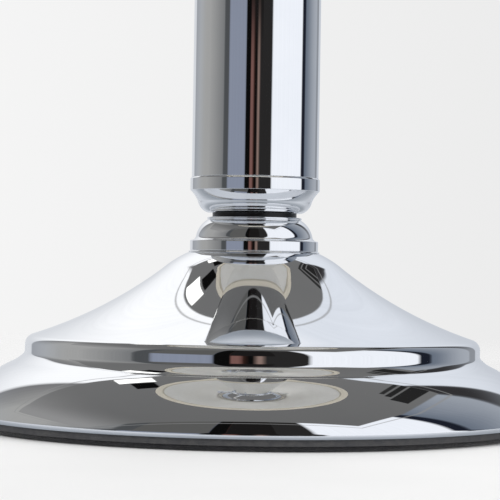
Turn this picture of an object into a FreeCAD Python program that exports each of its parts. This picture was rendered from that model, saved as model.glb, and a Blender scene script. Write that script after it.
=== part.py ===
import FreeCAD, Part
import Sketcher
import math
import os

# Spring-fed candle lamp with a shade, standing on a round weighted foot.
# Millimetres, +Z up. The origin is the middle of the felt's underside, on the lamp's axis.

# Driving dimensions: name, value, what it is
SIZES = [
    # foot
    ("felt_d", "124", "felt pad, diameter"),
    ("felt_thick", "1.2", "felt pad, thickness"),
    ("foot_d", "128", "foot shell, outside diameter"),
    ("shell_wall", "1", "foot shell, sheet thickness"),
    ("shell_height", "35.55", "foot shell, lower edge to flat top"),
    ("rim_height", "1", "foot shell, upright rim under the dome"),
    ("dome_turn_d", "123.6", "foot shell, diameter where the dome turns down to the rim"),
    ("dome_turn_height", "4.9", "foot shell, height of that turn"),
    ("cove_d", "108", "foot shell, diameter where the cove meets the dome"),
    ("cove_height", "10.9", "foot shell, height of that line"),
    ("riser_d", "100", "foot shell, diameter of the step's upright wall"),
    ("riser_low", "14.1", "foot shell, lower end of the upright wall"),
    ("riser_high", "15.8", "foot shell, upper end of the upright wall"),
    ("step_d", "97.2", "foot shell, diameter where the flare meets the step"),
    ("step_height", "17.05", "foot shell, height of that line"),
    ("flare_top_d", "40.2", "foot shell, diameter where the flare starts"),
    ("flare_top_height", "31.95", "foot shell, height where the flare starts"),
    ("neck_d", "29", "foot shell, diameter of the flat top"),
    ("flange_thick", "1.3", "foot weight, flange under the edge of the shell"),
    ("flange_inset", "0.5", "foot weight, flange set back from the foot's outside"),
    ("weight_d", "116", "foot weight, diameter above the flange"),
    ("weight_side", "4", "foot weight, height of its upright side"),
    ("weight_top_d", "96", "foot weight, diameter of its flat top"),
    ("weight_height", "9", "foot weight, height above the flange"),
    ("recess_d", "20", "foot weight, nut recess diameter"),
    ("recess_depth", "6.5", "foot weight, nut recess depth"),
    # tie rod and its fasteners
    ("rod_d", "6", "tie rod, diameter"),
    ("rod_clear", "0.3", "room round the tie rod in the pieces that it passes"),
    ("thread_clear", "0.03", "room round a thread in its nut or tapped hole"),
    ("rod_end_gap", "0.6", "tie rod, lower end above the felt"),
    ("rod_grip", "9", "tie rod, length screwed into the cup"),
    ("washer_d", "16", "tie washer, diameter"),
    ("washer_thick", "1.2", "tie washer, thickness"),
    ("nut_width", "10", "tie nut, across its flats"),
    ("nut_thick", "4.5", "tie nut, thickness"),
    # knob and neck
    ("seat_ring_d", "29.05", "knob seat ring, diameter"),
    ("seat_ring_thick", "0.35", "knob seat ring, thickness"),
    ("knob_d", "28.3", "lower knob, diameter of its band"),
    ("knob_height", "7.5", "lower knob, height"),
    ("knob_band", "2.35", "lower knob, height of its band"),
    ("knob_ovolo_d", "25.7", "lower knob, diameter at the foot of the ovolo"),
    ("knob_ovolo_low", "3.35", "lower knob, foot of the ovolo"),
    ("knob_ovolo_high", "6.95", "lower knob, top of the ovolo"),
    ("knob_top_d", "20.9", "lower knob, diameter of the top bead"),
    ("knob_edge", "0.15", "lower knob, rounding of its edges"),
    ("spacer_d", "18.6", "neck spacer, diameter"),
    ("spacer_height", "0.95", "neck spacer, height"),
    # cup and tube
    ("cup_foot_d", "20.7", "tube cup, diameter of its foot"),
    ("cup_height", "7.8", "tube cup, height without the spigot"),
    ("cup_waist_d", "25.2", "tube cup, diameter where the bowl meets the cavetto"),
    ("cup_waist_height", "2.5", "tube cup, height of that line"),
    ("collar_band_d", "28.6", "tube cup, diameter of the collar band"),
    ("collar_band_low", "4.95", "tube cup, lower edge of the collar band"),
    ("collar_chamfer", "0.35", "tube cup, chamfer at the top of the band"),
    ("spigot_length", "8", "tube cup, spigot inside the tube"),
    ("tube_d", "28", "candle tube, outside diameter"),
    ("tube_wall", "0.8", "candle tube, wall"),
    ("tube_length", "190", "candle tube, length"),
    ("slide_clear", "0.1", "radial room of a sliding fit in or on the tube"),
    # candle, spring and follower
    ("candle_d", "24", "candle, diameter"),
    ("candle_gap", "0.3", "room round the candle in its follower and under the cap"),
    ("candle_tip_d", "9", "candle, diameter of the flat at its tip"),
    ("candle_tip_height", "9", "candle, tip above the cap"),
    ("wick_d", "1.8", "wick, diameter"),
    ("wick_length", "8", "wick, length above the candle"),
    ("follower_height", "5.5", "candle follower, height"),
    ("follower_wall", "0.8", "candle follower, wall"),
    ("follower_floor", "1.5", "candle follower, floor"),
    ("spring_d", "25", "feed spring, outside diameter"),
    ("spring_wire", "1.2", "feed spring, wire diameter"),
    ("spring_pressed", "32", "feed spring, length with a new candle"),
    # cap
    ("cap_wall", "1.1", "tube cap, wall of its skirt"),
    ("cap_overlap", "14", "tube cap, skirt over the tube"),
    ("cap_rise", "4.4", "tube cap, top above the end of the tube"),
    ("cap_mouth_d", "19.2", "tube cap, mouth"),
    ("cap_edge", "1.2", "tube cap, rounding at the shoulder"),
    ("pin_d", "2.8", "bayonet pin, diameter"),
    ("pin_stand", "1.3", "bayonet pin, stand out of the tube"),
    ("pin_drop", "7", "bayonet pin, axis below the end of the tube"),
    ("slot_clear", "0.15", "room round a pin in its slot"),
    # shade carrier
    ("carrier_gap", "6", "gap between the carrier collar and the cap"),
    ("collar_height", "10", "carrier collar, height"),
    ("collar_wall", "2.9", "carrier collar, wall"),
    ("boss_d", "8", "carrier collar, screw boss diameter"),
    ("boss_length", "3", "carrier collar, screw boss beyond the collar"),
    ("screw_d", "4", "thumb screw, thread diameter"),
    ("screw_gap", "0.8", "thumb screw, head clear of the boss"),
    ("screw_head_d", "12", "thumb screw, head diameter"),
    ("screw_head", "5", "thumb screw, head thickness"),
    ("screw_neck_d", "7", "thumb screw, neck diameter"),
    ("screw_neck", "2.5", "thumb screw, neck length"),
    ("knurl_d", "1.6", "thumb screw, groove diameter"),
    ("arm_d", "2.6", "carrier arm, wire diameter"),
    ("arm_reach", "31.5", "carrier arm, distance of its upright from the axis"),
    ("arm_bend", "11", "carrier arm, bend radius"),
    ("arm_tip_gap", "0.4", "carrier arm, tip below the top of the ring's base"),
    ("ring_level", "96", "carrier ring, base above the middle of the collar"),
    ("ring_width", "6", "carrier ring, width of its base"),
    ("ring_base", "1.8", "carrier ring, thickness of its base"),
    ("ring_lip", "3", "carrier ring, lip above the base"),
    ("ring_lip_wall", "1.2", "carrier ring, wall of the lip"),
    # shade
    ("hub_clear", "0.4", "room between the carrier's lip and the shade's hub"),
    ("hub_width", "4", "shade spider, width of the hub"),
    ("hub_thick", "1.6", "shade spider, thickness of the hub"),
    ("spoke_d", "2", "shade spider, spoke wire diameter"),
    ("shade_wire_d", "3", "shade spider and bottom ring, wire diameter"),
    ("shade_bottom_d", "160", "shade, bottom diameter"),
    ("shade_top_d", "84", "shade, top diameter"),
    ("shade_height", "122", "shade, height"),
    ("shade_drop", "12", "shade, bottom edge below the middle of the collar"),
    ("cloth_thick", "0.9", "shade cloth with its stiff backing"),
    ("trim_width", "9", "trim, width of the band outside"),
    ("trim_fold", "4.6", "trim, width of the leg inside"),
    ("trim_thick", "0.5", "trim, thickness"),
    ("trim_gap", "0.1", "room between trim, cloth and wire"),
    # cutting shapes
    ("overrun", "1", "how far a cutting shape runs past what it cuts"),
]

# Counts and angles
ARM_COUNT = 3
PIN_COUNT = 2
KNURL_COUNT = 14
NUT_SIDES = 6
CAP_TURN_DEG = 30
FULL_TURN = 360
HALF_TURN = 180
QUARTER_TURN = 90

doc = FreeCAD.newDocument("candle_lamp")
sheet = doc.addObject("Spreadsheet::Sheet", "Sizes")
for row, (alias, number, note) in enumerate(SIZES, 1):
    sheet.set(f"A{row}", note)
    sheet.set(f"B{row}", number)
    sheet.setAlias(f"B{row}", alias)
doc.recompute()


class Size:
    """A number of the model, with the sheet expression that it comes from."""

    def __init__(self, value, text):
        self.value = value
        self.text = text

    def __add__(self, other):
        other = as_size(other)
        return Size(self.value + other.value, f"({self.text} + {other.text})")

    def __sub__(self, other):
        other = as_size(other)
        return Size(self.value - other.value, f"({self.text} - {other.text})")

    def __mul__(self, share):
        share = as_size(share)
        return Size(self.value * share.value, f"({self.text} * {share.text})")

    def __truediv__(self, share):
        share = as_size(share)
        return Size(self.value / share.value, f"({self.text} / {share.text})")


def as_size(number):
    return number if isinstance(number, Size) else Size(number, repr(number))


def size(alias):
    return Size(float(sheet.get(alias)), f"Sizes.{alias}")


NOUGHT = Size(0.0, "0")
DEG_PER_RAD = HALF_TURN / math.pi
UP = FreeCAD.Vector(0, 0, 1)
ACROSS = FreeCAD.Vector(0, 1, 0)

# Radii that several pieces share
tube_r = size("tube_d") / 2
bore_r = tube_r - size("tube_wall")
rod_hole_r = size("rod_d") / 2 + size("rod_clear")
tapped_r = size("rod_d") / 2 + size("thread_clear")
cap_in_r = tube_r + size("slide_clear")
cap_out_r = cap_in_r + size("cap_wall")
arm_hole_r = size("arm_d") / 2 + size("thread_clear")
collar_out_r = cap_in_r + size("collar_wall")
hub_in_r = size("arm_reach") - size("ring_width") / 2 + size("ring_lip_wall") + size("hub_clear")
hub_out_r = hub_in_r + size("hub_width")

# Levels, from the felt up
weight_z = size("felt_thick")
shell_z = weight_z + size("flange_thick")
seat_ring_z = shell_z + size("shell_height")
knob_z = seat_ring_z + size("seat_ring_thick")
spacer_z = knob_z + size("knob_height")
cup_z = spacer_z + size("spacer_height")
tube_z = cup_z + size("cup_height")
tube_top_z = tube_z + size("tube_length")
washer_z = weight_z + size("recess_depth") - size("washer_thick")
nut_z = washer_z - size("nut_thick")
rod_z = weight_z + size("rod_end_gap")
spring_z = tube_z + size("spigot_length")
follower_z = spring_z + size("spring_pressed")
candle_z = follower_z + size("follower_floor")
cap_z = tube_top_z - size("cap_overlap")
pin_z = tube_top_z - size("pin_drop")
collar_z = cap_z - size("carrier_gap") - size("collar_height")
arm_z = collar_z + size("collar_height") / 2
ring_z = arm_z + size("ring_level")
hub_z = ring_z + size("ring_base")
shade_z = arm_z - size("shade_drop")
shade_top_z = shade_z + size("shade_height")

# Shade frame: how much the wall leans in per unit of height, and where its two wires run
lean = (size("shade_bottom_d") - size("shade_top_d")) / 2 / size("shade_height")
wire_inset = size("cloth_thick") + size("trim_gap") + size("shade_wire_d") / 2
wire_rise = size("shade_wire_d") / 2 + size("trim_gap")
top_wire_r = size("shade_top_d") / 2 - wire_inset
bottom_wire_r = size("shade_bottom_d") / 2 - wire_inset - lean * size("shade_wire_d")
fold = size("trim_gap") + size("trim_thick")


def new_body(label, level, turn_deg=0):
    """A body at its level on the lamp's axis, turned about that axis."""
    body = doc.addObject("PartDesign::Body", label)
    body.Label = label
    body.Placement = FreeCAD.Placement(FreeCAD.Vector(), FreeCAD.Rotation(UP, turn_deg))
    body.setExpression("Placement.Base.z", level.text)
    return body


def origin_feature(body, role):
    return next(feature for feature in body.Origin.OriginFeatures if feature.Role == role)


def new_sketch(body, name, plane):
    sketch = body.newObject("Sketcher::SketchObject", f"{body.Name}_{name}")
    sketch.AttachmentSupport = [(origin_feature(body, plane), "")]
    sketch.MapMode = "FlatFace"
    return sketch


def hold(sketch, geometry, end, across, along):
    """Ties one point of the sketch to its two sizes from the origin."""
    for kind, axis, amount in (("DistanceX", -2, across), ("DistanceY", -1, along)):
        if amount is NOUGHT:
            sketch.addConstraint(Sketcher.Constraint("PointOnObject", geometry, end, axis))
            continue
        number = sketch.addConstraint(
            Sketcher.Constraint(kind, -1, 1, geometry, end, amount.value)
        )
        sketch.setExpression(f"Constraints[{number}]", amount.text)


def flat_point(across, along):
    return FreeCAD.Vector(across.value, along.value, 0)


def draw(sketch, legs, closed=True):
    """Joined lines and arcs. Two sizes end a line; four are an arc, through the first two to the last two.

    The first leg of an open outline is its starting point.
    """
    starts = legs[-1:] + legs[:-1]
    pairs = list(zip(starts, legs))
    if not closed:
        pairs = pairs[1:]
    ends = []
    for before, leg in pairs:
        head = flat_point(*before[-2:])
        tail = flat_point(*leg[-2:])
        if len(leg) == 2:
            geometry = sketch.addGeometry(Part.LineSegment(head, tail), False)
            ends.append((geometry, 1, 2))
        else:
            middle = flat_point(*leg[:2])
            geometry = sketch.addGeometry(Part.Arc(head, middle, tail), False)
            turns_left = (middle - head).cross(tail - middle).z > 0
            ends.append((geometry, 1, 2) if turns_left else (geometry, 2, 1))
            mark = sketch.addGeometry(Part.Point(middle), True)
            hold(sketch, mark, 1, *leg[:2])
            sketch.addConstraint(Sketcher.Constraint("PointOnObject", mark, 1, geometry))
    for (geometry, _, tail), (after, head, _) in zip(ends, ends[1:]):
        sketch.addConstraint(Sketcher.Constraint("Coincident", geometry, tail, after, head))
    if closed:
        geometry, _, tail = ends[-1]
        after, head, _ = ends[0]
        sketch.addConstraint(Sketcher.Constraint("Coincident", geometry, tail, after, head))
    else:
        geometry, head, _ = ends[0]
        hold(sketch, geometry, head, *legs[0][-2:])
    for (geometry, _, tail), (_, leg) in zip(ends, pairs):
        hold(sketch, geometry, tail, *leg[-2:])


def draw_circle(sketch, radius, across, along):
    circle = Part.Circle(flat_point(across, along), FreeCAD.Vector(0, 0, 1), radius.value)
    geometry = sketch.addGeometry(circle, False)
    hold(sketch, geometry, 3, across, along)
    number = sketch.addConstraint(Sketcher.Constraint("Radius", geometry, radius.value))
    sketch.setExpression(f"Constraints[{number}]", radius.text)


def revolve(body, name, legs):
    """Turns an outline, given as radius and height, about the body's Z axis."""
    sketch = new_sketch(body, name, "XZ_Plane")
    draw(sketch, legs)
    turned = body.newObject("PartDesign::Revolution", f"{body.Name}_{name}_turned")
    turned.Profile = sketch
    turned.ReferenceAxis = (sketch, ["V_Axis"])
    turned.Angle = FULL_TURN
    return turned


def turned_body(label, level, legs):
    body = new_body(label, level)
    revolve(body, "outline", legs)
    return body


def plain_ring(label, level, in_r, out_r, height):
    legs = [(in_r, NOUGHT), (out_r, NOUGHT), (out_r, height), (in_r, height)]
    return turned_body(label, level, legs)


def wire_ring(body, name, ring_r, level, wire_r):
    """A round wire bent to a ring."""
    sketch = new_sketch(body, name, "XZ_Plane")
    draw_circle(sketch, wire_r, ring_r, level)
    ring = body.newObject("PartDesign::Revolution", f"{body.Name}_{name}_turned")
    ring.Profile = sketch
    ring.ReferenceAxis = (sketch, ["V_Axis"])
    ring.Angle = FULL_TURN
    return ring


def cut_circle(body, name, plane, radius, across, along, backward=False, both=False):
    """A round hole through all of the body, square to one of its planes."""
    sketch = new_sketch(body, name, plane)
    draw_circle(sketch, radius, across, along)
    pocket = body.newObject("PartDesign::Pocket", f"{body.Name}_{name}_cut")
    pocket.Profile = sketch
    pocket.Type = "ThroughAll"
    pocket.Midplane = both
    pocket.Reversed = backward
    return pocket


def repeat_round(body, feature, count):
    """Repeats a feature about the body's Z axis."""
    pattern = body.newObject("PartDesign::PolarPattern", f"{feature.Name}_round")
    pattern.Originals = [feature]
    pattern.Axis = (origin_feature(body, "Z_Axis"), [""])
    pattern.Angle = FULL_TURN
    pattern.Occurrences = count
    body.Tip = pattern
    return pattern


def bent_wire(body, name, wire_r, legs):
    """A wire of round section along lines and arcs that start level, pointing away from the axis."""
    path = new_sketch(body, f"{name}_path", "XZ_Plane")
    draw(path, legs, closed=False)
    section = new_sketch(body, f"{name}_section", "YZ_Plane")
    start_across, start_along = legs[0]
    draw_circle(section, wire_r, NOUGHT, start_along)
    section.setExpression("AttachmentOffset.Base.z", start_across.text)
    pipe = body.newObject("PartDesign::AdditivePipe", f"{body.Name}_{name}_pipe")
    pipe.Profile = section
    pipe.Spine = (path, [f"Edge{number}" for number in range(1, len(legs))])
    return pipe


def elbow(reach, low, high, bend):
    """The middle of a quarter bend from level to upright, and its end."""
    middle_share = 1 - math.sqrt(0.5)
    middle = (reach - bend * middle_share, low + bend * middle_share)
    return [(*middle, reach, low + bend), (reach, high)]


def foot_shell():
    """The spun sheet: flat top, flared cone, step with an upright wall, cove, dome and rim."""
    body = new_body("foot_shell", shell_z)
    foot_r = size("foot_d") / 2
    neck_r = size("neck_d") / 2
    flare_r = size("flare_top_d") / 2
    step_r = size("step_d") / 2
    riser_r = size("riser_d") / 2
    cove_r = size("cove_d") / 2
    turn_r = size("dome_turn_d") / 2
    neck_run = flare_r - neck_r
    neck_drop = size("shell_height") - size("flare_top_height")
    flare_run = step_r - flare_r
    flare_drop = size("flare_top_height") - size("step_height")
    step_run = riser_r - step_r
    step_drop = size("step_height") - size("riser_high")
    cove_run = cove_r - riser_r
    cove_drop = size("riser_low") - size("cove_height")
    dome_run = turn_r - cove_r
    dome_drop = size("cove_height") - size("dome_turn_height")
    rim_run = foot_r - turn_r
    rim_drop = size("dome_turn_height") - size("rim_height")

    # Where each curve passes, as shares of its own run and drop
    neck_shares = (0.36, 0.29)
    flare_shares = (0.305, 0.395)
    step_shares = (0.68, 0.42)
    cove_shares = (0.32, 0.5)
    dome_shares = (0.52, 0.44)
    rim_shares = (0.62, 0.42)

    def through(start_r, run, start_height, drop, shares):
        return (start_r + run * shares[0], start_height - drop * shares[1])

    legs = [
        (NOUGHT, NOUGHT),
        (foot_r, NOUGHT),
        (foot_r, size("rim_height")),
        (
            *through(turn_r, rim_run, size("dome_turn_height"), rim_drop, rim_shares),
            turn_r, size("dome_turn_height"),
        ),
        (
            *through(cove_r, dome_run, size("cove_height"), dome_drop, dome_shares),
            cove_r, size("cove_height"),
        ),
        (
            *through(riser_r, cove_run, size("riser_low"), cove_drop, cove_shares),
            riser_r, size("riser_low"),
        ),
        (riser_r, size("riser_high")),
        (
            *through(step_r, step_run, size("step_height"), step_drop, step_shares),
            step_r, size("step_height"),
        ),
        (
            *through(flare_r, flare_run, size("flare_top_height"), flare_drop, flare_shares),
            flare_r, size("flare_top_height"),
        ),
        (
            *through(neck_r, neck_run, size("shell_height"), neck_drop, neck_shares),
            neck_r, size("shell_height"),
        ),
        (NOUGHT, size("shell_height")),
    ]
    solid = revolve(body, "outline", legs)
    doc.recompute()
    underside = next(
        f"Face{number}"
        for number, face in enumerate(solid.Shape.Faces, 1)
        if face.BoundBox.ZMax < size("rim_height").value / 2
    )
    shell = body.newObject("PartDesign::Thickness", "foot_shell_hollow")
    shell.Base = (solid, [underside])
    shell.setExpression("Value", size("shell_wall").text)
    shell.Reversed = True
    shell.Join = 0
    cut_circle(body, "rod_hole", "XY_Plane", rod_hole_r, NOUGHT, NOUGHT, backward=True)
    return body


def foot_weight():
    """A cast disc that fills the foot. Its flange carries the edge of the shell."""
    flange_r = size("foot_d") / 2 - size("flange_inset")
    weight_r = size("weight_d") / 2
    crown_r = size("weight_top_d") / 2
    recess_r = size("recess_d") / 2
    flange_top = size("flange_thick")
    side_top = flange_top + size("weight_side")
    crown = flange_top + size("weight_height")
    legs = [
        (recess_r, NOUGHT),
        (flange_r, NOUGHT),
        (flange_r, flange_top),
        (weight_r, flange_top),
        (weight_r, side_top),
        (crown_r, crown),
        (rod_hole_r, crown),
        (rod_hole_r, size("recess_depth")),
        (recess_r, size("recess_depth")),
    ]
    return turned_body("foot_weight", weight_z, legs)


def felt_pad():
    felt_r = size("felt_d") / 2
    thick = size("felt_thick")
    legs = [(NOUGHT, NOUGHT), (felt_r, NOUGHT), (felt_r, thick), (NOUGHT, thick)]
    return turned_body("felt_pad", NOUGHT, legs)


def tie_rod():
    """Clamps the weight, the shell, the knob and the cup together."""
    rod_r = size("rod_d") / 2
    chamfer = size("rod_clear")
    length = cup_z + size("rod_grip") - rod_z
    legs = [
        (NOUGHT, NOUGHT),
        (rod_r - chamfer, NOUGHT),
        (rod_r, chamfer),
        (rod_r, length - chamfer),
        (rod_r - chamfer, length),
        (NOUGHT, length),
    ]
    return turned_body("tie_rod", rod_z, legs)


def tie_washer():
    return plain_ring("tie_washer", washer_z, rod_hole_r, size("washer_d") / 2, size("washer_thick"))


def tie_nut():
    """A hexagon nut under the washer."""
    blank = doc.addObject("Part::Prism", "nut_blank")
    blank.Polygon = NUT_SIDES
    corner_r = size("nut_width") / math.sqrt(3)
    blank.setExpression("Circumradius", corner_r.text)
    blank.setExpression("Height", size("nut_thick").text)
    bore = doc.addObject("Part::Cylinder", "nut_bore")
    bore.setExpression("Radius", tapped_r.text)
    bore.setExpression("Height", size("nut_thick").text)
    nut = doc.addObject("Part::Cut", "tie_nut")
    nut.Base = blank
    nut.Tool = bore
    nut.setExpression("Placement.Base.z", nut_z.text)
    return nut


def knob_seat_ring():
    """The thin disc whose bevelled edge shows as a lip between cone and knob."""
    ring_r = size("seat_ring_d") / 2
    thick = size("seat_ring_thick")
    edge = thick / 2
    legs = [
        (rod_hole_r, NOUGHT),
        (ring_r - edge, NOUGHT),
        (ring_r, edge),
        (ring_r - edge, thick),
        (rod_hole_r, thick),
    ]
    return turned_body("knob_seat_ring", seat_ring_z, legs)


def lower_knob():
    """Band, small cove, ovolo and top bead, turned from the bar."""
    band_r = size("knob_d") / 2
    edge = size("knob_edge")
    band_top = size("knob_band")
    foot_r = size("knob_ovolo_d") / 2
    foot_z = size("knob_ovolo_low")
    top_r = size("knob_top_d") / 2
    top_z = size("knob_ovolo_high")
    high = size("knob_height")
    cove_shares = (0.2, 0.42)
    ovolo_shares = (0.42, 0.62)
    legs = [
        (rod_hole_r, NOUGHT),
        (band_r - edge, NOUGHT),
        (band_r, edge),
        (band_r, band_top - edge),
        (band_r - edge, band_top),
        (
            foot_r + (band_r - foot_r) * cove_shares[0],
            band_top + (foot_z - band_top) * cove_shares[1],
            foot_r, foot_z,
        ),
        (
            foot_r - (foot_r - top_r) * ovolo_shares[0],
            foot_z + (top_z - foot_z) * ovolo_shares[1],
            top_r - edge, top_z,
        ),
        (top_r, (top_z + high) / 2, top_r - edge, high),
        (rod_hole_r, high),
    ]
    return turned_body("lower_knob", knob_z, legs)


def neck_spacer():
    """The recessed ring that shows as a dark seam under the cup."""
    return plain_ring("neck_spacer", spacer_z, rod_hole_r, size("spacer_d") / 2, size("spacer_height"))


def tube_cup():
    """Bowl, cavetto and collar band, with a spigot that fills the end of the tube and takes the rod."""
    foot_r = size("cup_foot_d") / 2
    waist_r = size("cup_waist_d") / 2
    waist_z = size("cup_waist_height")
    band_r = size("collar_band_d") / 2
    band_low = size("collar_band_low")
    high = size("cup_height")
    chamfer = size("collar_chamfer")
    spigot_r = bore_r - size("slide_clear")
    spigot_top = high + size("spigot_length")
    tapped_depth = size("rod_grip") + size("overrun")
    bowl_shares = (0.65, 0.37)
    cavetto_shares = (0.31, 0.42)
    legs = [
        (tapped_r, NOUGHT),
        (foot_r, NOUGHT),
        (
            foot_r + (waist_r - foot_r) * bowl_shares[0],
            waist_z * bowl_shares[1],
            waist_r, waist_z,
        ),
        (
            waist_r + (band_r - waist_r) * cavetto_shares[0],
            waist_z + (band_low - waist_z) * cavetto_shares[1],
            band_r, band_low,
        ),
        (band_r, high - chamfer),
        (tube_r, high),
        (spigot_r, high),
        (spigot_r, spigot_top),
        (NOUGHT, spigot_top),
        (NOUGHT, tapped_depth),
        (tapped_r, tapped_depth),
    ]
    return turned_body("tube_cup", cup_z, legs)


def candle_tube():
    """A plain tube with two cross holes for the bayonet pins."""
    body = plain_ring("candle_tube", tube_z, bore_r, tube_r, size("tube_length"))
    hole_r = size("pin_d") / 2 + size("thread_clear")
    hole_z = size("tube_length") - size("pin_drop")
    cut_circle(body, "pin_holes", "YZ_Plane", hole_r, NOUGHT, hole_z, both=True)
    return body


def bayonet_pins():
    """Two short pins riveted in the tube, which stand out of it."""
    start = bore_r + size("thread_clear")
    length = tube_r + size("pin_stand") - start
    pins = []
    for number in range(PIN_COUNT):
        turn = FULL_TURN * number / PIN_COUNT
        pin = doc.addObject("Part::Cylinder", f"bayonet_pin_{number + 1}")
        lay = FreeCAD.Rotation(UP, turn) * FreeCAD.Rotation(ACROSS, QUARTER_TURN)
        pin.Placement = FreeCAD.Placement(FreeCAD.Vector(), lay)
        pin.setExpression("Radius", (size("pin_d") / 2).text)
        pin.setExpression("Height", length.text)
        pin.setExpression("Placement.Base.x", (start * math.cos(math.radians(turn))).text)
        pin.setExpression("Placement.Base.z", pin_z.text)
        pins.append(pin)
    group = doc.addObject("Part::Compound", "bayonet_pins")
    group.Links = pins
    return group


def feed_spring():
    """The space of the pressed spring, between the cup's spigot and the follower."""
    out_r = size("spring_d") / 2
    return plain_ring("feed_spring", spring_z, out_r - size("spring_wire"), out_r, size("spring_pressed"))


def candle_follower():
    """The cup that slides in the tube and carries the foot of the candle."""
    out_r = bore_r - size("slide_clear")
    in_r = out_r - size("follower_wall")
    high = size("follower_height")
    floor = size("follower_floor")
    legs = [(NOUGHT, NOUGHT), (out_r, NOUGHT), (out_r, high), (in_r, high), (in_r, floor), (NOUGHT, floor)]
    return turned_body("candle_follower", follower_z, legs)


def cap_seat_in_r():
    """Inner edge of the ring of the cap that rests on the end of the tube."""
    return bore_r - size("slide_clear") * 2


def candle():
    """A plain candle whose shoulder bears up under the cap and whose tip stands out of the mouth."""
    wax_r = size("candle_d") / 2
    gap = size("candle_gap")
    mouth_r = size("cap_mouth_d") / 2
    neck_r = mouth_r - gap
    tip_r = size("candle_tip_d") / 2
    cone_run = cap_seat_in_r() - mouth_r
    cone_rise = size("cap_rise") - size("cap_wall")
    slope = cone_rise / cone_run
    shoulder_share = 1.5
    tube_end = tube_top_z - candle_z
    shoulder = tube_end + (cap_seat_in_r() - wax_r) * slope - gap * shoulder_share
    neck = shoulder + (wax_r - neck_r) * slope
    mouth_top = tube_end + size("cap_rise")
    tip = mouth_top + size("candle_tip_height")
    tip_shares = (0.3, 0.58)
    legs = [
        (NOUGHT, NOUGHT),
        (wax_r, NOUGHT),
        (wax_r, shoulder),
        (neck_r, neck),
        (neck_r, mouth_top),
        (
            neck_r - (neck_r - tip_r) * tip_shares[0],
            mouth_top + (tip - mouth_top) * tip_shares[1],
            tip_r, tip,
        ),
        (NOUGHT, tip),
    ]
    return turned_body("candle", candle_z, legs)


def wick():
    wick_r = size("wick_d") / 2
    top = size("wick_length")
    level = tube_top_z + size("cap_rise") + size("candle_tip_height")
    legs = [
        (NOUGHT, NOUGHT),
        (wick_r, NOUGHT),
        (wick_r, top - wick_r / 2),
        (wick_r / 2, top),
        (NOUGHT, top),
    ]
    return turned_body("wick", level, legs)


def tube_cap():
    """Skirt, rounded shoulder and coned top with a mouth. Two L-shaped slots hook it on the pins."""
    mouth_r = size("cap_mouth_d") / 2
    overlap = size("cap_overlap")
    wall = size("cap_wall")
    edge = size("cap_edge")
    top = overlap + size("cap_rise")
    lip_share = 0.4
    lip = wall * lip_share
    blank = new_body("cap_blank", cap_z)
    shoulder_z = overlap + edge
    round_share = math.sqrt(0.5)
    legs = [
        (cap_in_r, NOUGHT),
        (cap_out_r, NOUGHT),
        (cap_out_r, overlap),
        (
            cap_out_r - edge * (1 - round_share),
            overlap + edge * round_share,
            cap_out_r - edge, shoulder_z,
        ),
        (mouth_r + wall, top),
        (mouth_r + wall - lip, top),
        (mouth_r, top - lip),
        (mouth_r, top - wall),
        (cap_seat_in_r(), overlap),
        (cap_in_r, overlap),
    ]
    revolve(blank, "outline", legs)

    room = size("pin_d") / 2 + size("slot_clear")
    half_turn = room / tube_r * DEG_PER_RAD
    cutter_r = cap_out_r + size("overrun")
    axis_height = overlap - size("pin_drop")
    cutters = []
    for number in range(PIN_COUNT):
        at = FULL_TURN * number / PIN_COUNT
        entry_foot = cap_z - size("overrun")
        entry_height = axis_height + size("overrun") + room
        level_foot = cap_z + axis_height - room
        legs_of_slot = (
            ("entry", entry_foot, entry_height, half_turn * 2),
            ("level", level_foot, room * 2, half_turn * 2 + CAP_TURN_DEG),
        )
        for name, foot, height, width in legs_of_slot:
            start = half_turn * -1 + (at - CAP_TURN_DEG)
            sector = doc.addObject("Part::Cylinder", f"slot_{name}_{number + 1}")
            sector.Placement = FreeCAD.Placement(
                FreeCAD.Vector(), FreeCAD.Rotation(UP, start.value)
            )
            sector.setExpression("Radius", cutter_r.text)
            sector.setExpression("Height", height.text)
            sector.setExpression("Angle", width.text)
            sector.setExpression("Placement.Rotation.Angle", start.text)
            sector.setExpression("Placement.Base.z", foot.text)
            cutters.append(sector)
    slots = doc.addObject("Part::MultiFuse", "cap_slots")
    slots.Shapes = cutters
    cap = doc.addObject("Part::Cut", "tube_cap")
    cap.Base = blank
    cap.Tool = slots
    return cap


def carrier_collar():
    """A sleeve on the tube, with a tapped boss for the screw and three sockets for the arms."""
    body = new_body("carrier_collar", collar_z)
    high = size("collar_height")
    middle = high / 2
    edge_share = 0.25
    edge = size("collar_wall") * edge_share
    legs = [
        (NOUGHT, NOUGHT),
        (collar_out_r - edge, NOUGHT),
        (collar_out_r, edge),
        (collar_out_r, high - edge),
        (collar_out_r - edge, high),
        (NOUGHT, high),
    ]
    revolve(body, "outline", legs)
    boss_sketch = new_sketch(body, "boss", "YZ_Plane")
    draw_circle(boss_sketch, size("boss_d") / 2, NOUGHT, middle)
    boss = body.newObject("PartDesign::Pad", "carrier_collar_boss_pad")
    boss.Profile = boss_sketch
    boss.Reversed = True
    boss.setExpression("Length", (collar_out_r + size("boss_length")).text)
    cut_circle(body, "bore", "XY_Plane", cap_in_r, NOUGHT, NOUGHT, backward=True)
    tapped = size("screw_d") / 2 + size("thread_clear")
    cut_circle(body, "screw_hole", "YZ_Plane", tapped, NOUGHT, middle)
    socket = cut_circle(body, "arm_socket", "YZ_Plane", arm_hole_r, NOUGHT, middle, backward=True)
    repeat_round(body, socket, ARM_COUNT)
    return body


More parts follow.
